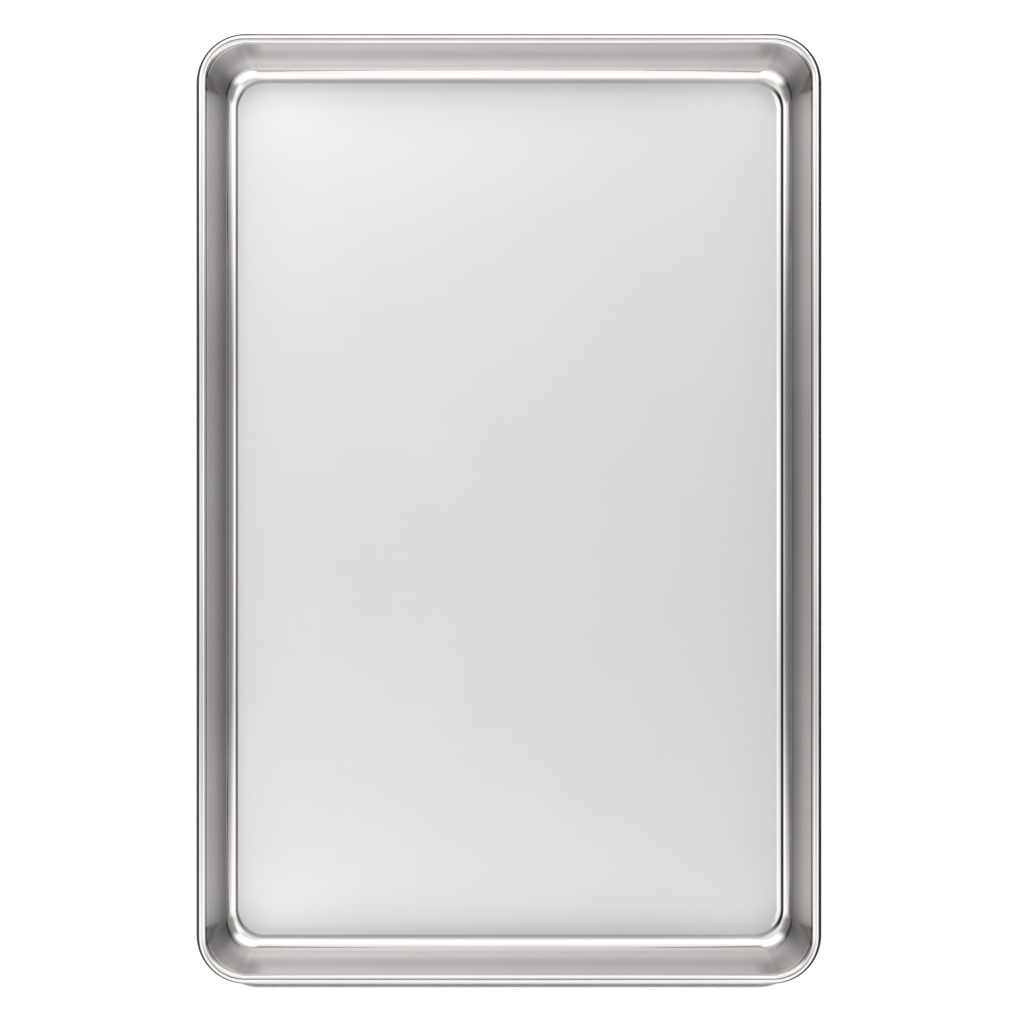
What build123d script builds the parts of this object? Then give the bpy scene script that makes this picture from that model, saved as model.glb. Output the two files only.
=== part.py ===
"""A commercial sheet pan, lying flat with its opening up.

The pan is one blank of aluminium sheet, drawn into a shallow tray with flared walls and
a radius round the floor. Its edge is curled outwards and under, into a closed bead. A
round steel wire runs inside that bead all the way round and keeps the rim straight. The
wire is one length, and its two ends butt in the middle of a long side.

Lengths are in millimetres and angles in degrees. The origin is the centre of the flat
underside, +Z is up, +Y runs along the pan and +X runs across it.
"""

import os
from math import acos, cos, degrees, radians, sin

from build123d import *

# The pan over its rim
pan_length = 600.0
pan_width = 395.0
pan_height = 25.0
corner_radius = 31.5

# The sheet and its forming
sheet_thickness = 1.25
wall_flare = 17.0
floor_radius = 8.0

# The wire in the rim
wire_diameter = 4.0
wire_clearance = 0.05
wire_end_gap = 1.5

# The curled edge stops this far short of the wall
curl_clearance = 0.1

# The bead is the sheet wrapped once round the wire
curl_inner_radius = wire_diameter / 2 + wire_clearance
bead_radius = curl_inner_radius + sheet_thickness

# Corner axes, measured from the middle of the pan
corner_x = pan_width / 2 - corner_radius
corner_y = pan_length / 2 - corner_radius

# Places in a section, as distance out from a corner's axis and height
bead_centre = (corner_radius - bead_radius, pan_height - bead_radius)
flare_sine = sin(radians(wall_flare))
flare_cosine = cos(radians(wall_flare))
floor_arc_height = sheet_thickness + floor_radius
wall_offset = bead_radius + floor_radius + flare_sine * (bead_centre[1] - floor_arc_height)
floor_arc_centre = (bead_centre[0] - wall_offset / flare_cosine, floor_arc_height)


def off_the_wall(centre, distance):
    """The point at a distance from a centre, square to the wall and towards the inside."""
    return (centre[0] - distance * flare_cosine, centre[1] + distance * flare_sine)


def sheet_section():
    """The sheet cut through a wall, from the floor's edge to the end of the curl."""
    fillet_turn = 90 - wall_flare
    curl_start = 180 - wall_flare
    reach = (curl_inner_radius - curl_clearance) / bead_radius
    curl_turn = 360 - degrees(acos(reach))
    floor_edge = floor_arc_centre[0]
    wall_radius = floor_radius + sheet_thickness
    inner_fillet = CenterArc(floor_arc_centre, floor_radius, -90, fillet_turn)
    inner_wall = Line(off_the_wall(floor_arc_centre, -floor_radius), off_the_wall(bead_centre, bead_radius))
    outer_curl = CenterArc(bead_centre, bead_radius, curl_start, -curl_turn)
    inner_curl = CenterArc(bead_centre, curl_inner_radius, curl_start, -curl_turn)
    cut_edge = Line(outer_curl @ 1, inner_curl @ 1)
    outer_wall = Line(off_the_wall(floor_arc_centre, -wall_radius), off_the_wall(bead_centre, curl_inner_radius))
    outer_fillet = CenterArc(floor_arc_centre, wall_radius, -90, fillet_turn)
    floor_joint = Line((floor_edge, 0), (floor_edge, sheet_thickness))
    outline = Curve() + [
        floor_joint,
        inner_fillet,
        inner_wall,
        outer_curl,
        cut_edge,
        inner_curl,
        outer_wall,
        outer_fillet,
    ]
    return make_face(Plane.XZ * outline)


def wire_section():
    """The wire cut across, in the middle of the bead."""
    return Plane.XZ * Pos(*bead_centre) * Circle(wire_diameter / 2)


def carried_round(section):
    """A section carried once round the pan: four straight sides and four quarter turns."""
    long_side = Pos(corner_x, 0, 0) * extrude(section, corner_y, both=True)
    end_side = Pos(0, corner_y, 0) * Rot(0, 0, 90) * extrude(section, corner_x, both=True)
    sides = [turn * side for side in (long_side, end_side) for turn in (Rot(), Rot(0, 0, 180))]
    quarter = revolve(section, Axis.Z, 90)
    centres = [(corner_x, corner_y), (-corner_x, corner_y), (-corner_x, -corner_y), (corner_x, -corner_y)]
    corners = [Pos(*centre) * Rot(0, 0, 90 * index) * quarter for index, centre in enumerate(centres)]
    return sides[0].fuse(*sides[1:], *corners)


def pan_body():
    """The drawn sheet: floor, flared walls and curled rim in one piece."""
    floor_corner = floor_arc_centre[0]
    floor_outline = RectangleRounded(2 * (corner_x + floor_corner), 2 * (corner_y + floor_corner), floor_corner)
    floor = extrude(floor_outline, sheet_thickness)
    return carried_round(sheet_section()).fuse(floor).clean()


def rim_wire():
    """The wire inside the bead, with its ends butting halfway along the left long side."""
    joint_place = Pos(-corner_x - bead_centre[0], 0, bead_centre[1])
    joint = joint_place * Box(2 * wire_diameter, wire_end_gap, 2 * wire_diameter)
    return (carried_round(wire_section()) - joint).clean()


def write_parts():
    """Writes one file for each piece of the pan."""
    os.makedirs("parts", exist_ok=True)
    for name, make in {"pan_body": pan_body, "rim_wire": rim_wire}.items():
        export_step(make(), f"parts/{name}.step")


write_parts()
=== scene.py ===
"""A commercial sheet pan of drawn aluminium with a wired, rolled rim, on a pale studio floor.

Lengths are in metres. The pan lies flat with its opening up, and the photograph looks straight down
into it, with +Y up in the picture.
"""

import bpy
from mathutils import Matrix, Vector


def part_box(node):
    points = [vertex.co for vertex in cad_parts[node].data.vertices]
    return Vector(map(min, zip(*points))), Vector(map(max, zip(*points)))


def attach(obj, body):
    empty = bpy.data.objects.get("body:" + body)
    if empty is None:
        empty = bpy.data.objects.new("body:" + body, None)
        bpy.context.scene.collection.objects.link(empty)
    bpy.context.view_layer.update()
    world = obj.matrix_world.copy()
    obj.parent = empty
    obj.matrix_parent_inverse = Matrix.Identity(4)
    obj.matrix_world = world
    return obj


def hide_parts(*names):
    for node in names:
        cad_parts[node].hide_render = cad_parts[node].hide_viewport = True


bl_info = {
    "name": "Sheet pan",
    "version": (1, 0, 0),
    "blender": (4, 5, 0),
    "location": "3D View > Sidebar > Sheet pan",
    "description": "Models a drawn sheet pan with a wired rim, its metal finishes and its studio",
    "category": "Add Mesh",
}

from math import acos, atan2, cos, pi, radians, sin, sqrt, tan

import bpy

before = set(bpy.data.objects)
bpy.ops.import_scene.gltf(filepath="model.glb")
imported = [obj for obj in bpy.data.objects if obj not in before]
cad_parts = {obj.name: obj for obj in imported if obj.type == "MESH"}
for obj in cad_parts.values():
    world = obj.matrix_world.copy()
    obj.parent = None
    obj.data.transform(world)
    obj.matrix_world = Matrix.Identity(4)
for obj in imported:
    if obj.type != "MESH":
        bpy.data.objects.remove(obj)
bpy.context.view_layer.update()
_, PAN_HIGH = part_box("pan_body")
WIRE_LOW, WIRE_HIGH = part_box("rim_wire")

MM = 0.001
CLOSE = 0.001 * MM
WIRE_RADIUS = (WIRE_HIGH.z - WIRE_LOW.z) / 2
BEAD_RADIUS = PAN_HIGH.x - WIRE_HIGH.x + WIRE_RADIUS

# Where the bead's crown meets the tighter bend of its shoulder
SHOULDER_TILT = radians(25)

CORNER_STEPS = 32
SHARP_EDGE = radians(30)

# Widths of the bands inset into the floor's top and into the underside, from their edges inwards
FLOOR_BORDERS = (0.3 * MM, 3.0 * MM, 4.0 * MM)

# The sheet's two finishes, in the order of its materials
INSIDE, BACK = range(2)

# The photograph is square, and these are pixels in it
PHOTO_SIZE = 1024
PAN_LEFT_PX = 196.5
PAN_RIGHT_PX = 821.4
PAN_TOP_PX = 33.8
PAN_BOTTOM_PX = 984.2


class SheetPanSizes(bpy.types.PropertyGroup):
    """Sizes of the drawn sheet."""

    sheet_thickness: bpy.props.FloatProperty(
        name="Sheet thickness",
        description="Thickness of the aluminium sheet",
        default=1.25 * MM,
        unit="LENGTH",
        precision=4,
    )
    wall_flare: bpy.props.FloatProperty(
        name="Wall flare",
        description="How far the walls lean out from upright",
        default=radians(17),
        subtype="ANGLE",
    )
    wall_bow: bpy.props.FloatProperty(
        name="Wall bow",
        description="How much more the walls lean at the floor, and less at the rim, than on the whole",
        default=radians(6),
        subtype="ANGLE",
    )
    corner_radius: bpy.props.FloatProperty(
        name="Corner radius",
        description="Radius of the rim's corners over the bead, seen from above",
        default=31.5 * MM,
        unit="LENGTH",
        precision=4,
    )
    floor_radius: bpy.props.FloatProperty(
        name="Floor radius",
        description="Inner radius between the floor and a straight wall",
        default=8.0 * MM,
        unit="LENGTH",
        precision=4,
    )
    corner_floor_radius: bpy.props.FloatProperty(
        name="Floor radius in the corners",
        description="Inner radius between the floor and the wall in the middle of a corner",
        default=10.8 * MM,
        unit="LENGTH",
        precision=4,
    )
    bend_radius: bpy.props.FloatProperty(
        name="Bend radius",
        description="Radius of the bend from the wall into the bead",
        default=1.0 * MM,
        unit="LENGTH",
        precision=4,
    )
    curl_clearance: bpy.props.FloatProperty(
        name="Curl clearance",
        description="How far the edge of the curl stays off the wall",
        default=0.1 * MM,
        unit="LENGTH",
        precision=5,
    )


class SheetPanFinish(bpy.types.PropertyGroup):
    """Colours and gloss of the metals, and the light and shade painted into their colours."""

    floor_colour: bpy.props.FloatVectorProperty(
        name="Floor colour",
        description="Colour of the satin floor",
        default=(0.940, 0.920, 0.930, 1.0),
        size=4,
        subtype="COLOR",
    )
    drawn_colour: bpy.props.FloatVectorProperty(
        name="Wall and rim colour",
        description="Colour of the drawn, brighter metal",
        default=(0.925, 0.906, 0.887, 1.0),
        size=4,
        subtype="COLOR",
    )
    zinc_colour: bpy.props.FloatVectorProperty(
        name="Wire colour",
        description="Colour of the wire's zinc coat",
        default=(0.50, 0.51, 0.53, 1.0),
        size=4,
        subtype="COLOR",
    )
    floor_roughness: bpy.props.FloatProperty(
        name="Floor roughness",
        description="Roughness of the satin floor",
        default=0.5,
        subtype="FACTOR",
    )
    back_metal: bpy.props.FloatProperty(
        name="Bare metal outside",
        description="How much of the outside shines as bare metal through its dull oxide",
        default=0.55,
        subtype="FACTOR",
    )
    drawn_roughness: bpy.props.FloatProperty(
        name="Wall roughness",
        description="Roughness of the drawn walls and the rim",
        default=0.10,
        subtype="FACTOR",
    )
    wall_haze: bpy.props.FloatProperty(
        name="Wall haze",
        description="How much rougher the walls are than the fillets and the bead",
        default=0.1,
        subtype="FACTOR",
    )
    brushing_offset: bpy.props.FloatProperty(
        name="Brushing offset",
        description="How much earlier the brushing ends along the right side than along the others",
        default=2.5 * MM,
        unit="LENGTH",
        precision=5,
    )
    # The punch's line is painted shade and reflection: a dark line in the fillet's colour, deepest on the right
    painted_punch_line: bpy.props.FloatVectorProperty(
        name="Punch line",
        description="How far up the fillet the punch's line runs, on the left, on the right and at the ends",
        default=(1.65 * MM, 2.35 * MM, 2.0 * MM),
        unit="LENGTH",
        precision=5,
    )
    painted_line_shade: bpy.props.FloatVectorProperty(
        name="Punch line shade",
        description="Brightness of the punch's line against the metal beside it, on the left, right and ends",
        default=(0.22, 0.02, 0.5),
    )
    painted_line_reach: bpy.props.FloatVectorProperty(
        name="Punch line reach",
        description="How far from its middle the punch's line fades out, on the left, right and ends",
        default=(1.1 * MM, 1.25 * MM, 1.7 * MM),
        unit="LENGTH",
        precision=5,
    )
    # Painted shade on the drawn walls: the left wall and the corners are darkened in the colour
    painted_left_wall_shade: bpy.props.FloatProperty(
        name="Left wall shade",
        description="Brightness of the left wall against the right one",
        default=0.73,
        subtype="FACTOR",
    )
    painted_corner_shade: bpy.props.FloatProperty(
        name="Corner shade",
        description="Brightness of the walls in the corners against the straight ones",
        default=0.75,
        subtype="FACTOR",
    )
    # The end walls' dark patches beside the corners are painted shade and reflection
    painted_patch_shade: bpy.props.FloatProperty(
        name="Patch shade",
        description="Brightness of the end walls where the corners run into them",
        default=0.68,
        subtype="FACTOR",
    )
    # Painted light and shade on the satin floor: brighter to the left and in the corners, darker to the right, in
    # the middle and at its edge
    painted_left_light: bpy.props.FloatProperty(
        name="Left floor shade",
        description="Brightness of the satin towards the left side",
        default=1.05,
        subtype="FACTOR",
    )
    painted_right_shade: bpy.props.FloatProperty(
        name="Right floor shade",
        description="Brightness of the satin towards the right side",
        default=0.9,
        subtype="FACTOR",
    )
    # The middle of the floor is darkened with painted shade
    painted_middle_shade: bpy.props.FloatProperty(
        name="Floor middle shade",
        description="Brightness of the middle of the floor, where it is worn, against the rest",
        default=0.96,
        subtype="FACTOR",
    )
    painted_corner_light: bpy.props.FloatProperty(
        name="Floor corner shade",
        description="Brightness of the satin in the floor's corners",
        default=1.06,
        subtype="FACTOR",
    )
    painted_edge_shade: bpy.props.FloatProperty(
        name="Floor edge shade",
        description="Brightness of the floor's edge against its middle",
        default=0.98,
        subtype="FACTOR",
    )


class SheetPanStudio(bpy.types.PropertyGroup):
    """The camera, the light and the floor round the pan."""

    camera_height: bpy.props.FloatProperty(
        name="Camera height",
        description="Height of the camera over the studio floor",
        default=0.455,
        unit="LENGTH",
    )
    axis_x_px: bpy.props.FloatProperty(
        name="Axis across",
        description="Pixel of the photograph that the camera's axis passes through, from the left",
        default=509.0,
    )
    axis_y_px: bpy.props.FloatProperty(
        name="Axis down",
        description="Pixel of the photograph that the camera's axis passes through, from the top",
        default=508.8,
    )
    floor_size: bpy.props.FloatProperty(
        name="Floor size",
        description="Width and length of the studio floor",
        default=12.0,
        unit="LENGTH",
    )
    sun_strength: bpy.props.FloatProperty(
        name="Lamp strength",
        description="Strength of the lamp that lays the rim's shadow on the studio floor",
        default=3.9,
    )
    sun_elevation: bpy.props.FloatProperty(
        name="Lamp elevation",
        description="How high over the horizon the lamp stands",
        default=radians(51.8),
        subtype="ANGLE",
    )
    sun_size: bpy.props.FloatProperty(
        name="Lamp size",
        description="Angle that the lamp fills, which softens the shadow",
        default=radians(2.0),
        subtype="ANGLE",
    )
    fill_light: bpy.props.FloatProperty(
        name="Fill light",
        description="How much of the ceiling's light reaches dull surfaces",
        default=0.3,
        subtype="FACTOR",
    )


def arc(centre, radius, start, turn, steps):
    """Points along an arc in a section, as (offset, height) pairs."""
    angles = [start + turn * i / steps for i in range(steps + 1)]
    return [(centre[0] + radius * cos(angle), centre[1] + radius * sin(angle)) for angle in angles]


def corner_axis(sizes):
    """Where the corners' axes stand, across and along the pan."""
    return PAN_HIGH.x - sizes.corner_radius, PAN_HIGH.y - sizes.corner_radius


class Section:
    """The sheet's section through a wall. Offsets run outwards from a corner's axis.

    The wall is a long shallow arc, a little steeper at the rim than where it leaves the fillet.
    """

    FILLET_STEPS = 28
    WALL_STEPS = 20
    BEND_STEPS = 12
    BEAD_STEPS = 64
    CURL_STEPS = 30

    def __init__(self, sizes):
        self.thickness = sizes.sheet_thickness
        self.radius = sizes.floor_radius
        self.corner_radius = sizes.corner_floor_radius
        self.low_flare = sizes.wall_flare + sizes.wall_bow
        self.high_flare = sizes.wall_flare - sizes.wall_bow
        self.bend_radius = sizes.bend_radius
        self.curl_radius = BEAD_RADIUS - self.thickness
        self.bead = (sizes.corner_radius - BEAD_RADIUS, PAN_HIGH.z - BEAD_RADIUS)
        top = self.off(self.bead, BEAD_RADIUS, self.high_flare)
        fillet_height = self.thickness + self.radius
        rise = top[1] - fillet_height + self.radius * sin(self.low_flare)
        fillet_offset = top[0] - rise * tan(sizes.wall_flare) - self.radius * cos(self.low_flare)
        self.fillet = (fillet_offset, fillet_height)
        self.wall_radius = rise / cos(sizes.wall_flare) / (2 * sin(sizes.wall_bow))
        self.wall_centre = self.off(top, self.wall_radius, self.high_flare)
        self.curl_turn = 2 * pi - acos((self.curl_radius - sizes.curl_clearance) / BEAD_RADIUS)

    @staticmethod
    def off(point, distance, flare):
        """The point at a distance from a point, square to a wall of that flare and towards the inside."""
        return (point[0] - distance * cos(flare), point[1] + distance * sin(flare))

    def wall(self, growth):
        """Points up the wall's arc from the fillet to the rim, without its ends."""
        radius = self.wall_radius + growth
        turn = self.low_flare - self.high_flare
        return arc(self.wall_centre, radius, -self.low_flare, turn, self.WALL_STEPS)[1:-1]

    def fillet_arc(self, growth):
        """Points up the fillet, from the floor to the wall."""
        turn = pi / 2 - self.low_flare
        return arc(self.fillet, self.radius + growth, -pi / 2, turn, self.FILLET_STEPS)

    def inside(self):
        """The inner face, from the floor's edge up the fillet and the wall to the bead."""
        return self.fillet_arc(0.0) + self.wall(0.0) + [self.off(self.bead, BEAD_RADIUS, self.high_flare)]

    def shoulder(self):
        """The bead's inner shoulder: a tight bend off the wall, then a flatter crown as far as its top."""
        end = pi / 2 - self.high_flare
        across_bend = cos(self.high_flare) * (sin(end) - sin(SHOULDER_TILT))
        up_bend = sin(self.high_flare) * (cos(SHOULDER_TILT) - cos(end))
        across_crown = cos(self.high_flare) * sin(SHOULDER_TILT)
        up_crown = sin(self.high_flare) * (1 - cos(SHOULDER_TILT))
        left = BEAD_RADIUS * (1 - sin(self.high_flare)) - self.bend_radius * (across_bend - up_bend)
        crown_radius = left / (across_crown - up_crown)
        crown = (self.bead[0], PAN_HIGH.z - crown_radius)
        inset = crown_radius - self.bend_radius
        bend = (crown[0] - inset * sin(SHOULDER_TILT), crown[1] + inset * cos(SHOULDER_TILT))
        start = pi / 2 + SHOULDER_TILT
        tight = arc(bend, self.bend_radius, pi - self.high_flare, SHOULDER_TILT - end, self.BEND_STEPS)
        return tight + arc(crown, crown_radius, start, -SHOULDER_TILT, self.BEND_STEPS)[1:]

    def rim(self):
        """The bead and the inside of its curl, as far as the back of the wall."""
        end = pi - self.high_flare - self.curl_turn
        bead = arc(self.bead, BEAD_RADIUS, pi / 2, end - pi / 2, self.BEAD_STEPS)[1:]
        curl = arc(self.bead, self.curl_radius, end, self.curl_turn, self.CURL_STEPS)
        return self.shoulder() + bead + curl

    def outside(self):
        """The outer face, from the curl down the wall and the fillet to the underside."""
        return (self.fillet_arc(self.thickness) + self.wall(self.thickness))[::-1]

    def relief(self, height, growth):
        """How far the face is drawn in at a height in the middle of a corner, by its wider fillet."""
        radius = self.corner_radius + growth
        drop = self.thickness + self.corner_radius - height
        if drop < radius * sin(self.low_flare):
            return 0.0
        shift = (self.corner_radius - self.radius) * tan((pi / 2 - self.low_flare) / 2)
        wide = sqrt(max(radius**2 - drop**2, 0.0)) - shift
        radius = self.radius + growth
        end = self.fillet[1] - radius * sin(self.low_flare)
        if height < end:
            return sqrt(max(radius**2 - (self.fillet[1] - height) ** 2, 0.0)) - wide
        return radius * cos(self.low_flare) + (height - end) * tan(self.low_flare) - wide

    def stations(self):
        """Offset, height and radius in plan of each loop, from the floor's edge round to the underside."""
        faces = ((self.inside(), 0.0), (self.rim(), None), (self.outside(), self.thickness))
        loops = []
        for points, growth in faces:
            for offset, height in points:
                relief = 0.0 if growth is None else self.relief(height, growth)
                loops.append((offset, height, offset + relief / (sqrt(2) - 1)))
        return loops


def select_where(mesh, test):
    """Selects the vertices of the mesh in edit mode that pass a test, and their edges."""
    bpy.ops.object.mode_set(mode="OBJECT")
    for part in (mesh.vertices, mesh.edges, mesh.polygons):
        part.foreach_set("select", [False] * len(part))
    mesh.vertices.foreach_set("select", [test(vertex) for vertex in mesh.vertices])
    bpy.ops.object.mode_set(mode="EDIT")
    bpy.ops.mesh.select_mode(type="VERT")
    bpy.ops.mesh.select_mode(type="EDGE")


def select_station(mesh, number):
    """Selects the loop of edges at one station of the mesh in edit mode."""
    bpy.ops.object.mode_set(mode="OBJECT")
    numbers = [entry.value for entry in mesh.attributes["station"].data]
    select_where(mesh, lambda vertex: numbers[vertex.index] == number)


def number_selected(mesh, number):
    """Gives the selected vertices a station number."""
    bpy.ops.object.mode_set(mode="OBJECT")
    station = mesh.attributes["station"].data
    for vertex in mesh.vertices:
        if vertex.select:
            station[vertex.index].value = number
    bpy.ops.object.mode_set(mode="EDIT")


def extrude(dx, dy, dz=0.0):
    """Extrudes what is selected by a step."""
    bpy.ops.mesh.extrude_region_move(TRANSFORM_OT_translate={"value": (dx, dy, dz)})


def number_stations(mesh):
    """Numbers the points of the section, in the order in which they were drawn."""
    bpy.ops.object.mode_set(mode="OBJECT")
    station = mesh.attributes.new("station", "INT", "POINT")
    station.data.foreach_set("value", range(len(mesh.vertices)))
    bpy.ops.object.mode_set(mode="EDIT")
    bpy.ops.mesh.select_all(action="SELECT")


def widen_corners(mesh, stations, axis_x, axis_y):
    """Draws the fillets in at the corners, where the sheet bends more gently."""
    station = mesh.attributes["station"].data
    for vertex in mesh.vertices:
        x, y = abs(vertex.co.x) - axis_x, abs(vertex.co.y) - axis_y
        if min(x, y) < -CLOSE:
            continue
        offset, _, radius = stations[station[vertex.index].value]
        turn = atan2(max(y, 0.0), max(x, 0.0))
        x = offset - radius + radius * cos(turn)
        y = offset - radius + radius * sin(turn)
        vertex.co.x = (axis_x + x) * (1 if vertex.co.x > 0 else -1)
        vertex.co.y = (axis_y + y) * (1 if vertex.co.y > 0 else -1)


def mirror(piece, axes, threshold):
    """Mirrors a piece across its middle along the chosen axes."""
    modifier = piece.modifiers.new("mirror", "MIRROR")
    modifier.use_axis = axes
    modifier.merge_threshold = threshold
    bpy.ops.object.modifier_apply(modifier=modifier.name)


def fill_floors(mesh, last):
    """Closes the first and the last loop with a face each, and insets its borders."""
    for edge, step in ((0, -1), (last, 0)):
        select_station(mesh, edge)
        bpy.ops.mesh.edge_face_add()
        bpy.ops.mesh.select_mode(type="FACE")
        for count, border in enumerate(FLOOR_BORDERS, 1):
            bpy.ops.mesh.inset(thickness=border)
            number_selected(mesh, edge + count * step)


def model_sheet(sizes, section):
    """Models the drawn sheet as one closed shell: a section, spun round a corner and drawn along two sides."""
    axis_x, axis_y = corner_axis(sizes)
    stations = section.stations()
    bpy.ops.object.select_all(action="DESELECT")
    bpy.ops.mesh.primitive_plane_add(size=1, location=(0, 0, 0))
    piece = bpy.context.object
    piece.name = piece.data.name = "drawn_sheet"
    bpy.ops.object.mode_set(mode="EDIT")
    bpy.ops.mesh.merge(type="CENTER")
    # Leaving edit mode clears the merged points away, so that the next ones keep the order in which they are drawn
    bpy.ops.object.mode_set(mode="OBJECT")
    bpy.ops.object.mode_set(mode="EDIT")
    bpy.ops.transform.translate(value=(axis_x + stations[0][0], axis_y, stations[0][1]))
    for before, after in zip(stations, stations[1:]):
        extrude(after[0] - before[0], 0.0, after[1] - before[1])
    number_stations(piece.data)
    bpy.ops.mesh.spin(steps=CORNER_STEPS, angle=-pi / 2, center=(axis_x, axis_y, 0), axis=(0, 0, 1))
    extrude(-axis_x, 0.0)
    select_where(piece.data, lambda vertex: vertex.co.x > axis_x and abs(vertex.co.y - axis_y) < CLOSE)
    extrude(0.0, -axis_y)
    bpy.ops.object.mode_set(mode="OBJECT")
    mirror(piece, (True, True, False), CLOSE)
    widen_corners(piece.data, stations, axis_x, axis_y)
    bpy.ops.object.mode_set(mode="EDIT")
    fill_floors(piece.data, len(stations) - 1)
    bpy.ops.mesh.select_all(action="SELECT")
    bpy.ops.mesh.normals_make_consistent(inside=False)
    bpy.ops.object.mode_set(mode="OBJECT")
    bpy.ops.object.shade_smooth_by_angle(angle=SHARP_EDGE)
    return piece


def around(point, axis_x, axis_y, radius):
    """Distance round the rim to a point of the sheet, from the middle of the right side."""
    x, y = abs(point.x) - axis_x, abs(point.y) - axis_y
    corner = radius * pi / 2
    quarter = axis_y + corner + axis_x
    if x < 0:
        place = axis_y + corner - x
    elif y < 0:
        place = axis_y + y
    else:
        place = axis_y + radius * atan2(y, x)
    if point.y >= 0:
        return place if point.x >= 0 else 2 * quarter - place
    return 2 * quarter + place if point.x < 0 else 4 * quarter - place


def lay_out_sheet(piece, sizes, section):
    """Lays the UV map in metres, round the pan by along the section, and gives each face its finish."""
    axis_x, axis_y = corner_axis(sizes)
    whole = 4 * (axis_x + axis_y) + 2 * pi * sizes.corner_radius
    stations = section.stations()
    back_start = len(stations) - len(section.outside())
    lengths = {0: 0.0}
    for row, (before, after) in enumerate(zip(stations, stations[1:])):
        lengths[row + 1] = lengths[row] + sqrt((after[0] - before[0]) ** 2 + (after[1] - before[1]) ** 2)
    for count, border in enumerate(FLOOR_BORDERS, 1):
        lengths[-count] = lengths[1 - count] - border
    mesh = piece.data
    sheet_map = mesh.uv_layers.new(name="Sheet")
    numbers = [entry.value for entry in mesh.attributes["station"].data]
    for face in mesh.polygons:
        rows = [numbers[index] for index in face.vertices]
        points = [mesh.vertices[index].co for index in face.vertices]
        places = [around(point, axis_x, axis_y, sizes.corner_radius) for point in points]
        farthest = max(places)
        for loop, row, place in zip(face.loop_indices, rows, places):
            if farthest - place > whole / 2:
                place += whole
            sheet_map.data[loop].uv = (place, lengths[row])
        face.material_index = INSIDE if max(rows) <= back_start else BACK
    mesh.attributes.remove(mesh.attributes["station"])


class Nodes:
    """A node tree, with short calls to add its nodes and join them."""

    def __init__(self, tree):
        self.tree = tree

    def add(self, kind, settings=None, **inputs):
        """Adds a node, sets its own settings and fills its inputs with values or other nodes' outputs.

        An input is given by its name, or by its number as i0, i1 and so on.
        """
        node = self.tree.nodes.new(kind)
        for name, value in (settings or {}).items():
            setattr(node, name, value)
        for name, value in inputs.items():
            numbered = name[0] == "i" and name[1:].isdigit()
            socket = node.inputs[int(name[1:]) if numbered else name]
            if isinstance(value, bpy.types.NodeSocket):
                self.tree.links.new(value, socket)
            else:
                socket.default_value = value
        return node

    def join(self, output, socket):
        """Links an output to an input."""
        self.tree.links.new(output, socket)

    def math(self, operation, *values, clamp=False):
        """A Math node's output."""
        inputs = {f"i{i}": value for i, value in enumerate(values)}
        return self.add("ShaderNodeMath", {"operation": operation, "use_clamp": clamp}, **inputs).outputs[0]

    def product(self, *values):
        """All the values multiplied."""
        whole = values[0]
        for value in values[1:]:
            whole = self.math("MULTIPLY", whole, value)
        return whole

    def spread(self, value, low, high, start=0.0, end=1.0):
        """A value mapped smoothly from low..high to start..end."""
        settings = {"interpolation_type": "SMOOTHSTEP"}
        return self.add("ShaderNodeMapRange", settings, i0=value, i1=low, i2=high, i3=start, i4=end).outputs[0]

    def mix(self, share, first, second):
        """A mix of two numbers, all of the second at a share of one."""
        return self.add("ShaderNodeMix", i0=share, i2=first, i3=second).outputs[0]

    def blend(self, share, first, second):
        """A mix of two colours, all of the second at a share of one."""
        return self.add("ShaderNodeMix", {"data_type": "RGBA"}, i0=share, i6=first, i7=second).outputs[2]

    def ramp(self, value, stops):
        """A grey ramp through (place, level) stops, with levels above one allowed."""
        node = self.add("ShaderNodeValToRGB", i0=value)
        elements = node.color_ramp.elements
        while len(elements) < len(stops):
            elements.new(1.0)
        for element, (place, level) in zip(elements, stops):
            element.position = place
            element.color = (level, level, level, 1.0)
        return node.outputs[0]


def new_material(name):
    """An empty metal material, its nodes and its shader."""
    material = bpy.data.materials.new(name)
    material.use_nodes = True
    nodes = Nodes(material.node_tree)
    shader = material.node_tree.nodes["Principled BSDF"]
    shader.inputs["Metallic"].default_value = 1.0
    return material, nodes, shader


def scaled_noise(nodes, coordinates, scale, detail=3.0, roughness=0.55):
    """Noise on coordinates stretched by a scale for each axis, in cycles a metre."""
    mapping = nodes.add("ShaderNodeMapping", Vector=coordinates, Scale=scale)
    settings = {"noise_dimensions": "3D"}
    inputs = {"Vector": mapping.outputs[0], "Scale": 1.0, "Detail": detail, "Roughness": roughness}
    return nodes.add("ShaderNodeTexNoise", settings, **inputs).outputs[0]


# Noise lies mostly between these values
NOISE = (0.3, 0.7)


def tinted(nodes, colour, value, dark, light):
    """The finish's colour, made darker and lighter by a value."""
    level = nodes.spread(value, *NOISE, dark, light)
    return nodes.add("ShaderNodeHueSaturation", Color=colour, Value=level).outputs[0]
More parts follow.
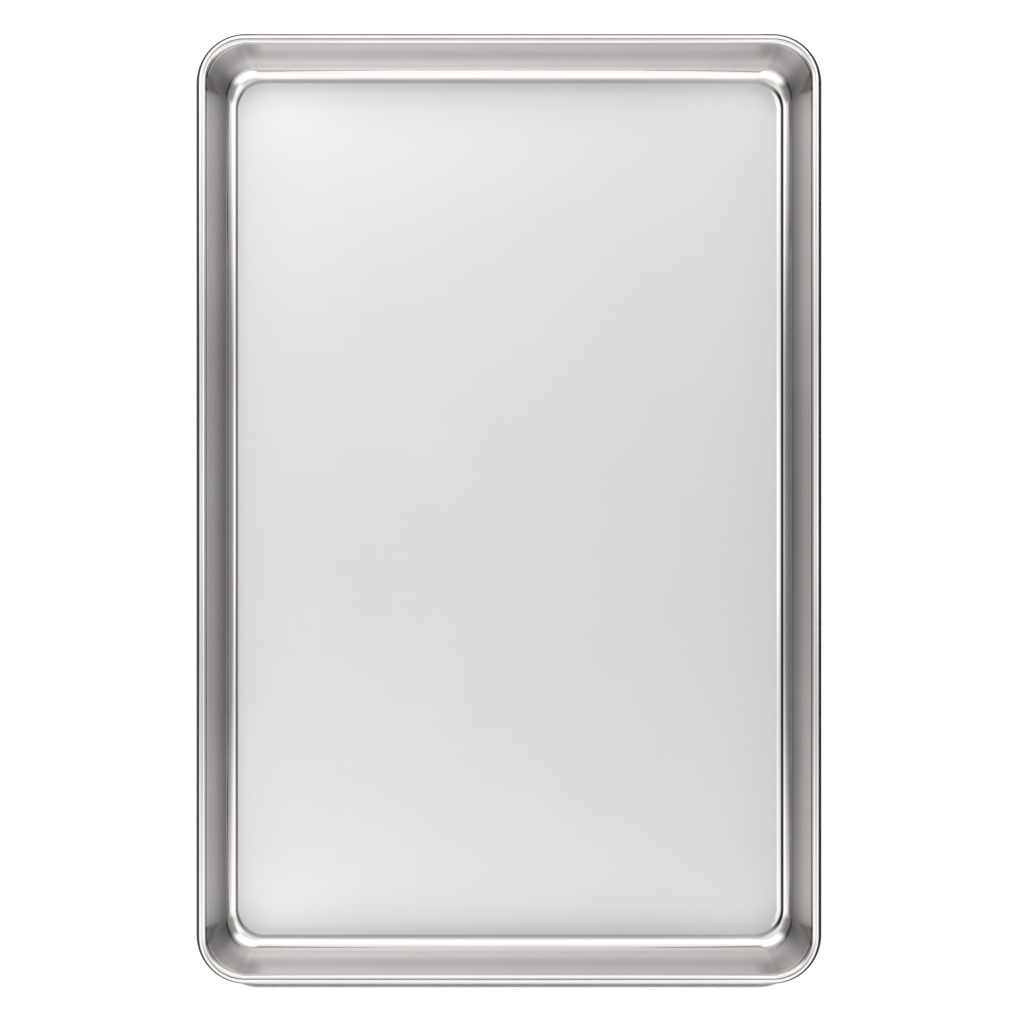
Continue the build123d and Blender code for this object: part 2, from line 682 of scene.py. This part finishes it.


# Painted light and shade on the drawn metal, in millimetres up the section from the floor's edge: brightness
# levels that stand in for how the fillet, the wall, the crease and the bead catch the light. They differ between
# the long sides and the ends.
SIDE_PAINTED_LIGHT = (
    # Painted shade where the top of the fillet darkens into the wall
    (7.5, 1.0),
    (8.1, 0.75),
    (8.5, 0.36),
    (9.3, 0.31),
    # The wall, painted brighter towards the rim
    (9.9, 0.41),
    (12.2, 0.5),
    (15.5, 0.62),
    (19.3, 0.77),
    (26.2, 0.83),
    # Painted shade in the crease below the bead
    (26.6, 0.2),
    (27.4, 0.15),
    # The bead, with a faint line of painted shade on its shoulder
    (27.8, 1.0),
    (28.0, 1.08),
    (29.3, 1.08),
    (29.9, 0.75),
    (30.5, 1.0),
)
END_PAINTED_LIGHT = (
    # The top of the fillet, with a painted highlight
    (7.0, 1.0),
    (7.7, 1.15),
    (8.1, 1.15),
    (8.7, 0.93),
    (9.4, 0.92),
    # The wall, painted darkest above its middle
    (10.0, 0.88),
    (11.4, 0.75),
    (12.4, 0.79),
    (14.4, 0.77),
    (16.9, 0.63),
    (19.9, 0.58),
    (22.6, 0.66),
    (26.4, 0.7),
    # Painted shade in the crease below the bead
    (26.9, 0.5),
    (27.3, 0.62),
    # The bead, with a painted dark line on its shoulder and a painted duller outer half
    (27.7, 1.08),
    (29.5, 1.08),
    (29.8, 0.2),
    (30.0, 0.2),
    (30.4, 1.0),
    (31.3, 1.0),
    (32.0, 0.8),
)
PAINTED_LIGHT_TOP = END_PAINTED_LIGHT[-1][0]

# Where one finish or painted shade gives way to the next, up the section from the floor's edge
PAINTED_FLOOR_EDGE = (-6.0 * MM, 1.0 * MM)
BRUSHING_END = (0.7 * MM, 1.9 * MM)
WALL_START = (8.0 * MM, 11.0 * MM)
WALL_END = (24.5 * MM, 27.0 * MM)
PAINTED_PATCH_START = (13.0 * MM, 25.0 * MM)
PAINTED_PATCH_END = (26.0 * MM, 27.0 * MM)

# The same across the pan, from left to right
PAINTED_FLOOR_ACROSS = (-0.25, 0.15)
PAINTED_LINE_ACROSS = (-0.1, 0.1)
PAINTED_LEFT_WALL = (-0.185, -0.17)
RIGHT_EDGE = (0.15, 0.165)

# The same outwards from the pan's middle, across it and along it
PAINTED_MIDDLE_ACROSS = (0.08, 0.17)
PAINTED_MIDDLE_ALONG = (0.17, 0.265)
PAINTED_CORNERS_ALONG = (0.22, 0.275)

# The same round a corner, from a long side at nothing to an end at a quarter turn
PAINTED_LIGHT_TURN = (radians(15), radians(75))
LINE_TURN = (radians(20), radians(60))
PAINTED_PATCH_TURN = (radians(50), radians(75))
PAINTED_CORNER_FADE = radians(18)

# Painted brightness of the satin between its darkened middle and its brightened corners
PAINTED_FLOOR_LEVEL = 0.99

# Half the width of the punch's painted dark line where it is darkest, and of a painted dark patch beside a corner
PAINTED_LINE_CORE = 0.4 * MM
PAINTED_PATCH_REACH = 14.0 * MM


class Spot:
    """Where a point of the sheet lies: across and along the pan, up the section and round a corner."""

    def __init__(self, nodes, sizes):
        axis_x, axis_y = corner_axis(sizes)
        self.place = nodes.add("ShaderNodeTexCoord").outputs["Object"]
        self.across, along, _ = nodes.add("ShaderNodeSeparateXYZ", i0=self.place).outputs
        self.across_out = nodes.math("ABSOLUTE", self.across)
        self.along_out = nodes.math("ABSOLUTE", along)
        self.past_axis = nodes.math("SUBTRACT", self.across_out, axis_x)
        past_end = nodes.math("MAXIMUM", nodes.math("SUBTRACT", self.along_out, axis_y), 0.0)
        past_side = nodes.math("MAXIMUM", self.past_axis, 0.0)
        self.turn = nodes.math("ARCTAN2", past_end, past_side)
        self.map = nodes.add("ShaderNodeUVMap", {"uv_map": "Sheet"}).outputs[0]
        self.climb = nodes.add("ShaderNodeSeparateXYZ", i0=self.map).outputs[1]


def painted_floor_shading(nodes, spot, finish):
    """Painted light and shade on the satin: darker in the middle, to the right and at its edge, brighter to the
    left and in the corners.
    """
    # Each factor is painted light or shade: darker by the fillet and to the right, brighter to the left, darker in
    # the middle, brighter in the corners
    edge = nodes.spread(spot.climb, *PAINTED_FLOOR_EDGE, 1.0, finish.painted_edge_shade)
    side = nodes.spread(spot.across, *PAINTED_FLOOR_ACROSS, finish.painted_left_light, finish.painted_right_shade)
    middle = nodes.spread(spot.along_out, *PAINTED_MIDDLE_ALONG, finish.painted_middle_shade, PAINTED_FLOOR_LEVEL)
    margin = nodes.spread(spot.along_out, *PAINTED_CORNERS_ALONG, PAINTED_FLOOR_LEVEL, finish.painted_corner_light)
    painted_shading = nodes.mix(nodes.spread(spot.across_out, *PAINTED_MIDDLE_ACROSS), middle, margin)
    return nodes.product(edge, side, painted_shading)


def drawn_share(nodes, spot, finish):
    """Nothing on the brushed floor and one on the drawn metal. The brushing ends earlier on the right."""
    off_ends = nodes.spread(spot.turn, *LINE_TURN, 1.0, 0.0)
    right = nodes.product(nodes.spread(spot.across, *RIGHT_EDGE), off_ends, finish.brushing_offset)
    return nodes.spread(nodes.math("ADD", spot.climb, right), *BRUSHING_END)


def painted_punch_line(nodes, spot, finish):
    """The line round the floor where the punch pressed into the fillet, darkened in the colour with painted shade
    and reflection, deepest on the right.
    """
    on_end = nodes.spread(spot.turn, *LINE_TURN)
    to_right = nodes.spread(spot.across, *PAINTED_LINE_ACROSS)
    climb, shade, reach = (
        nodes.mix(on_end, nodes.mix(to_right, left, right), end)
        for left, right, end in (finish.painted_punch_line, finish.painted_line_shade, finish.painted_line_reach)
    )
    off_line = nodes.math("ABSOLUTE", nodes.math("SUBTRACT", spot.climb, climb))
    return nodes.spread(off_line, PAINTED_LINE_CORE, reach, shade, 1.0)


def painted_wall_light(nodes, spot):
    """The painted light and shade of the drawn metal, those of the sides blended into those of the ends round the
    corners.
    """
    up = nodes.math("DIVIDE", spot.climb, PAINTED_LIGHT_TOP * MM, clamp=True)
    side, end = (
        nodes.ramp(up, [(climb / PAINTED_LIGHT_TOP, level) for climb, level in painted_bands]) for painted_bands in (SIDE_PAINTED_LIGHT, END_PAINTED_LIGHT)
    )
    return nodes.blend(nodes.spread(spot.turn, *PAINTED_LIGHT_TURN), side, end)


def painted_end_patch(nodes, spot, finish):
    """Painted shade and reflection: soft dark patches high on the end walls, where the corners run into them."""
    inner, outer = nodes.spread(spot.past_axis, -PAINTED_PATCH_REACH, 0.0), nodes.spread(spot.past_axis, 0.0, PAINTED_PATCH_REACH)
    upper = nodes.math("SUBTRACT", nodes.spread(spot.climb, *PAINTED_PATCH_START), nodes.spread(spot.climb, *PAINTED_PATCH_END))
    painted_patch = nodes.product(nodes.math("SUBTRACT", inner, outer), upper, nodes.spread(spot.turn, *PAINTED_PATCH_TURN))
    return nodes.spread(painted_patch, 0.0, 1.0, 1.0, finish.painted_patch_shade)


def painted_drawn_shading(nodes, spot, finish, on_wall):
    """Painted light and shade on the drawn metal: its painted bands, with painted shade on the left wall, in the
    corners and in the patches beside them.
    """
    painted_left_wall = nodes.spread(spot.across, *PAINTED_LEFT_WALL, finish.painted_left_wall_shade, 1.0)
    # Painted shade in the corners
    into_corner = nodes.spread(spot.turn, 0.0, PAINTED_CORNER_FADE)
    out_of_corner = nodes.spread(spot.turn, pi / 2 - PAINTED_CORNER_FADE, pi / 2, 1.0, 0.0)
    painted_corner_share = nodes.product(into_corner, out_of_corner)
    corner = nodes.spread(painted_corner_share, 0.0, 1.0, 1.0, finish.painted_corner_shade)
    # The left wall's and the corners' painted shade, on the walls only
    wall = nodes.mix(on_wall, 1.0, nodes.product(painted_left_wall, corner))
    return nodes.product(painted_wall_light(nodes, spot), wall, painted_end_patch(nodes, spot, finish))


def inside_material(finish, sizes):
    """The inside: a brushed satin floor that turns, over the line left by the punch, into bright drawn walls, with
    light and shade painted into its colour.
    """
    material, nodes, shader = new_material("sheet_inside")
    spot = Spot(nodes, sizes)
    drawn = drawn_share(nodes, spot, finish)
    on_wall = nodes.math("SUBTRACT", nodes.spread(spot.climb, *WALL_START), nodes.spread(spot.climb, *WALL_END))
    clouds = scaled_noise(nodes, spot.place, (14, 10, 14))
    brushing = scaled_noise(nodes, spot.place, (5, 520, 5), 4.0, 0.65)
    satin = nodes.mix(0.4, clouds, brushing)
    streaks = scaled_noise(nodes, spot.map, (6, 900, 1), 4.0, 0.6)
    patches = scaled_noise(nodes, spot.map, (25, 60, 1))
    polish = nodes.mix(0.5, streaks, patches)

    floor_colour = tinted(nodes, tuple(finish.floor_colour), satin, 0.975, 1.01)
    wall_colour = tinted(nodes, tuple(finish.drawn_colour), polish, 0.96, 1.01)
    # The floor's and the walls' painted light and shade, darkened further along the punch's painted line
    shade = nodes.mix(drawn, painted_floor_shading(nodes, spot, finish), painted_drawn_shading(nodes, spot, finish, on_wall))
    shade = nodes.product(shade, painted_punch_line(nodes, spot, finish))
    colour = nodes.blend(drawn, floor_colour, wall_colour)
    shaded = nodes.add("ShaderNodeHueSaturation", Color=colour, Value=shade)
    nodes.join(shaded.outputs[0], shader.inputs["Base Color"])

    floor_rough = nodes.spread(satin, *NOISE, finish.floor_roughness - 0.03, finish.floor_roughness + 0.03)
    wall_rough = nodes.spread(polish, *NOISE, finish.drawn_roughness - 0.02, finish.drawn_roughness + 0.03)
    wall_rough = nodes.math("ADD", wall_rough, nodes.product(on_wall, finish.wall_haze))
    nodes.join(nodes.mix(drawn, floor_rough, wall_rough), shader.inputs["Roughness"])

    height = nodes.mix(drawn, brushing, streaks)
    bump = nodes.add("ShaderNodeBump", Strength=0.1, Distance=0.015 * MM, Height=height)
    nodes.join(bump.outputs[0], shader.inputs["Normal"])
    return material


def back_material(finish):
    """The outside of the sheet: mill satin under a dull oxide, with scuffs from shelves."""
    material, nodes, shader = new_material("mill_back")
    shader.inputs["Metallic"].default_value = finish.back_metal
    place = nodes.add("ShaderNodeTexCoord").outputs["Object"]
    clouds = scaled_noise(nodes, place, (16, 16, 40))
    scuffs = scaled_noise(nodes, place, (420, 7, 60), 5.0, 0.7)
    satin = nodes.mix(0.5, clouds, scuffs)
    nodes.join(tinted(nodes, tuple(finish.floor_colour), satin, 0.9, 1.0), shader.inputs["Base Color"])
    rough = nodes.spread(satin, *NOISE, finish.floor_roughness - 0.06, finish.floor_roughness + 0.06)
    nodes.join(rough, shader.inputs["Roughness"])
    bump = nodes.add("ShaderNodeBump", Strength=0.15, Distance=0.03 * MM, Height=scuffs)
    nodes.join(bump.outputs[0], shader.inputs["Normal"])
    return material


def zinc_material(finish):
    """The wire's zinc coat: dull grey with a fine spangle."""
    material, nodes, shader = new_material("zinc_wire")
    place = nodes.add("ShaderNodeTexCoord").outputs["Object"]
    spangle = nodes.add("ShaderNodeTexVoronoi", Vector=place, Scale=900.0).outputs["Color"]
    grey = nodes.add("ShaderNodeRGBToBW", i0=spangle).outputs[0]
    nodes.join(tinted(nodes, tuple(finish.zinc_colour), grey, 0.8, 1.1), shader.inputs["Base Color"])
    nodes.join(nodes.spread(grey, 0.2, 0.8, 0.4, 0.55), shader.inputs["Roughness"])
    return material


class SHEETPAN_OT_drawn_sheet(bpy.types.Operator):
    """Model the drawn sheet: floor, fillets, flared walls and rolled rim"""

    bl_idname = "sheetpan.drawn_sheet"
    bl_label = "Drawn sheet"

    def execute(self, context):
        sizes = context.scene.sheet_pan_sizes
        finish = context.scene.sheet_pan_finish
        section = Section(sizes)
        piece = model_sheet(sizes, section)
        for finished in (inside_material(finish, sizes), back_material(finish)):
            piece.data.materials.append(finished)
        lay_out_sheet(piece, sizes, section)
        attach(piece, "root")
        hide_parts("pan_body")
        return {"FINISHED"}


class SHEETPAN_OT_rim_wire(bpy.types.Operator):
    """Give the wire inside the rim its zinc coat"""

    bl_idname = "sheetpan.rim_wire"
    bl_label = "Rim wire"

    def execute(self, context):
        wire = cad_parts["rim_wire"]
        wire.data.materials.clear()
        wire.data.materials.append(zinc_material(context.scene.sheet_pan_finish))
        return {"FINISHED"}


# Brightness that the pan sees on each side of the studio, from straight above at nothing to the horizon at one
CEILING_STOPS = {
    "right": (
        (0.0, 0.92),
        (0.1, 0.92),
        (0.17, 1.0),
        (0.22, 1.15),
        (0.3, 1.15),
        (0.35, 0.66),
        (0.45, 0.35),
        (0.6, 0.28),
        (1.0, 0.22),
    ),
    "left": (
        (0.0, 0.92),
        (0.1, 0.88),
        (0.2, 0.85),
        (0.27, 0.85),
        (0.35, 0.5),
        (0.45, 0.33),
        (0.6, 0.22),
        (1.0, 0.14),
    ),
    "top": (
        (0.0, 0.92),
        (0.1, 0.82),
        (0.25, 0.82),
        (0.36, 1.2),
        (0.5, 1.25),
        (0.7, 1.05),
        (0.85, 0.75),
        (1.0, 0.62),
    ),
    "bottom": (
        (0.0, 0.92),
        (0.08, 0.78),
        (0.17, 0.65),
        (0.23, 0.7),
        (0.3, 0.9),
        (0.37, 1.1),
        (0.6, 1.15),
        (0.8, 1.0),
        (1.0, 0.85),
    ),
}

# How the sides of the studio turn into its ends, in the ceiling and in the mirrored floor
CEILING_TURN = (radians(15), radians(42))
FLOOR_TURN = (radians(50), radians(65))

# Brightness of the mirrored floor: nearly black, and pale beyond the lower end of the picture
MIRRORED_FLOOR = (0.025, 0.7)

# Dark cards beside the pan: place across, height and brightness
FLAGS = {"right_flag": (0.225, 0.07, 0.04), "left_flag": (-0.225, 0.06, 0.07)}


def bearing(nodes, x, y):
    """The angle from the pan's width towards its length, the same in all four quarters."""
    return nodes.math("ARCTAN2", nodes.math("ABSOLUTE", y), nodes.math("ABSOLUTE", x))


def light_studio(fill_light):
    """A ceiling of light: bright towards both ends of the pan, dark to its sides and plain to the camera."""
    world = bpy.data.worlds.new("studio_light")
    bpy.context.scene.world = world
    world.use_nodes = True
    world.node_tree.nodes.clear()
    nodes = Nodes(world.node_tree)
    direction = nodes.add("ShaderNodeTexCoord").outputs["Generated"]
    x, y, z = nodes.add("ShaderNodeSeparateXYZ", i0=direction).outputs
    drop = nodes.math("DIVIDE", nodes.math("ARCCOSINE", z), pi / 2, clamp=True)
    levels = {name: nodes.ramp(drop, stops) for name, stops in CEILING_STOPS.items()}
    sides = nodes.blend(nodes.math("GREATER_THAN", x, 0.0), levels["left"], levels["right"])
    ends = nodes.blend(nodes.math("GREATER_THAN", y, 0.0), levels["bottom"], levels["top"])
    ceiling = nodes.blend(nodes.spread(bearing(nodes, x, y), *CEILING_TURN), sides, ends)
    path = nodes.add("ShaderNodeLightPath").outputs
    strength = nodes.mix(path["Is Diffuse Ray"], 1.0, fill_light)
    light = nodes.add("ShaderNodeBackground", Color=ceiling, Strength=strength)
    plain = nodes.add("ShaderNodeBackground", Color=(1.0, 1.0, 1.0, 1.0))
    seen = path["Is Camera Ray"]
    mix = nodes.add("ShaderNodeMixShader", i0=seen, i1=light.outputs[0], i2=plain.outputs[0])
    output = nodes.add("ShaderNodeOutputWorld")
    nodes.join(mix.outputs[0], output.inputs[0])


def lay_floor(size):
    """The pale studio floor, which the metal mirrors as a darker grey."""
    bpy.ops.object.select_all(action="DESELECT")
    bpy.ops.mesh.primitive_plane_add(size=size)
    floor = bpy.context.object
    floor.name = floor.data.name = "studio_floor"
    material, nodes, shader = new_material("pale_floor")
    shader.inputs["Metallic"].default_value = 0.0
    shader.inputs["Roughness"].default_value = 0.9
    shader.inputs["Base Color"].default_value = (0.92, 0.92, 0.92, 1.0)
    shader.inputs["Emission Color"].default_value = (1.0, 1.0, 1.0, 1.0)
    shader.inputs["Emission Strength"].default_value = 0.02
    place = nodes.add("ShaderNodeTexCoord").outputs["Object"]
    x, y, _ = nodes.add("ShaderNodeSeparateXYZ", i0=place).outputs
    below = nodes.math("LESS_THAN", y, 0.0)
    beyond = nodes.product(below, nodes.spread(bearing(nodes, x, y), *FLOOR_TURN))
    mirrored = nodes.add("ShaderNodeBsdfDiffuse", Color=nodes.spread(beyond, 0.0, 1.0, *MIRRORED_FLOOR))
    in_mirror = nodes.add("ShaderNodeLightPath").outputs["Is Glossy Ray"]
    mix = nodes.add("ShaderNodeMixShader", i0=in_mirror, i1=shader.outputs[0], i2=mirrored.outputs[0])
    nodes.join(mix.outputs[0], material.node_tree.nodes["Material Output"].inputs[0])
    floor.data.materials.append(material)


def hang_flag(name, across, height, level):
    """A dark card along one side of the pan, which only the polished metal sees."""
    bpy.ops.object.select_all(action="DESELECT")
    bpy.ops.mesh.primitive_plane_add(size=1, location=(across, 0, height / 2), rotation=(0, pi / 2, 0))
    flag = bpy.context.object
    flag.name = flag.data.name = name
    flag.scale = (height, 1.0, 1.0)
    bpy.ops.object.transform_apply(location=True, rotation=True, scale=True)
    material = bpy.data.materials.new(name)
    material.use_nodes = True
    shader = material.node_tree.nodes["Principled BSDF"]
    shader.inputs["Base Color"].default_value = (0.0, 0.0, 0.0, 1.0)
    shader.inputs["Specular IOR Level"].default_value = 0.0
    shader.inputs["Emission Color"].default_value = (1.0, 1.0, 1.0, 1.0)
    shader.inputs["Emission Strength"].default_value = level
    flag.data.materials.append(material)
    flag.visible_camera = flag.visible_diffuse = flag.visible_shadow = False


def add_sun(studio):
    """Soft light from the top of the picture, which lights the studio floor and lays the rim's shadow on it."""
    data = bpy.data.lights.new("high_light", "SUN")
    data.energy = studio.sun_strength
    data.angle = studio.sun_size
    lamp = bpy.data.objects.new("high_light", data)
    bpy.context.collection.objects.link(lamp)
    lamp.rotation_euler = (studio.sun_elevation - pi / 2, 0.0, 0.0)
    lamp.visible_glossy = False


def place_camera(studio):
    """A camera that looks straight down, where the photograph's camera stands."""
    data = bpy.data.cameras.new("photo_camera")
    camera = bpy.data.objects.new("photo_camera", data)
    bpy.context.collection.objects.link(camera)
    rim_height = PAN_HIGH.z - BEAD_RADIUS
    bead_x = PAN_HIGH.x - BEAD_RADIUS
    sight = atan2(bead_x, studio.camera_height - rim_height)
    scale = 2 * (bead_x + BEAD_RADIUS / cos(sight)) / (PAN_RIGHT_PX - PAN_LEFT_PX)
    centre_x_px = (PAN_LEFT_PX + PAN_RIGHT_PX) / 2
    centre_y_px = (PAN_TOP_PX + PAN_BOTTOM_PX) / 2
    camera.location.x = (studio.axis_x_px - centre_x_px) * scale
    camera.location.y = (centre_y_px - studio.axis_y_px) * scale
    camera.location.z = studio.camera_height
    data.lens = data.sensor_width * (studio.camera_height - rim_height) / scale / PHOTO_SIZE
    data.shift_x = 0.5 - studio.axis_x_px / PHOTO_SIZE
    data.shift_y = studio.axis_y_px / PHOTO_SIZE - 0.5
    data.clip_start = 0.01
    bpy.context.scene.camera = camera


class SHEETPAN_OT_studio(bpy.types.Operator):
    """Lay the studio floor, light it and set up the camera"""

    bl_idname = "sheetpan.studio"
    bl_label = "Studio"

    def execute(self, context):
        studio = context.scene.sheet_pan_studio
        lay_floor(studio.floor_size)
        light_studio(studio.fill_light)
        for name, (across, height, level) in FLAGS.items():
            hang_flag(name, across, height, level)
        add_sun(studio)
        place_camera(studio)
        context.scene.view_settings.view_transform = "Standard"
        return {"FINISHED"}


class SHEETPAN_PT_panel(bpy.types.Panel):
    """The pan's operators, sizes and finishes in the sidebar"""

    bl_idname = "SHEETPAN_PT_panel"
    bl_label = "Sheet pan"
    bl_space_type = "VIEW_3D"
    bl_region_type = "UI"
    bl_category = "Sheet pan"

    def draw(self, context):
        layout = self.layout
        for operator in OPERATORS:
            layout.operator(operator.bl_idname)
        for name, group in GROUPS.items():
            box = layout.box()
            for setting in group.__annotations__:
                box.prop(getattr(context.scene, name), setting)


OPERATORS = (SHEETPAN_OT_drawn_sheet, SHEETPAN_OT_rim_wire, SHEETPAN_OT_studio)
GROUPS = {
    "sheet_pan_sizes": SheetPanSizes,
    "sheet_pan_finish": SheetPanFinish,
    "sheet_pan_studio": SheetPanStudio,
}


def register():
    """Registers the classes and hangs the settings on the scene."""
    for cls in (*GROUPS.values(), *OPERATORS, SHEETPAN_PT_panel):
        bpy.utils.register_class(cls)
    for name, group in GROUPS.items():
        setattr(bpy.types.Scene, name, bpy.props.PointerProperty(type=group))


def unregister():
    """Takes the settings and the classes away again."""
    for name in GROUPS:
        delattr(bpy.types.Scene, name)
    for cls in (SHEETPAN_PT_panel, *OPERATORS, *GROUPS.values()):
        bpy.utils.unregister_class(cls)


def main():
    """Builds the whole scene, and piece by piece."""
    register()
    bpy.ops.sheetpan.drawn_sheet()
    bpy.ops.sheetpan.rim_wire()
    bpy.ops.sheetpan.studio()


if __name__ == "__main__":
    main()
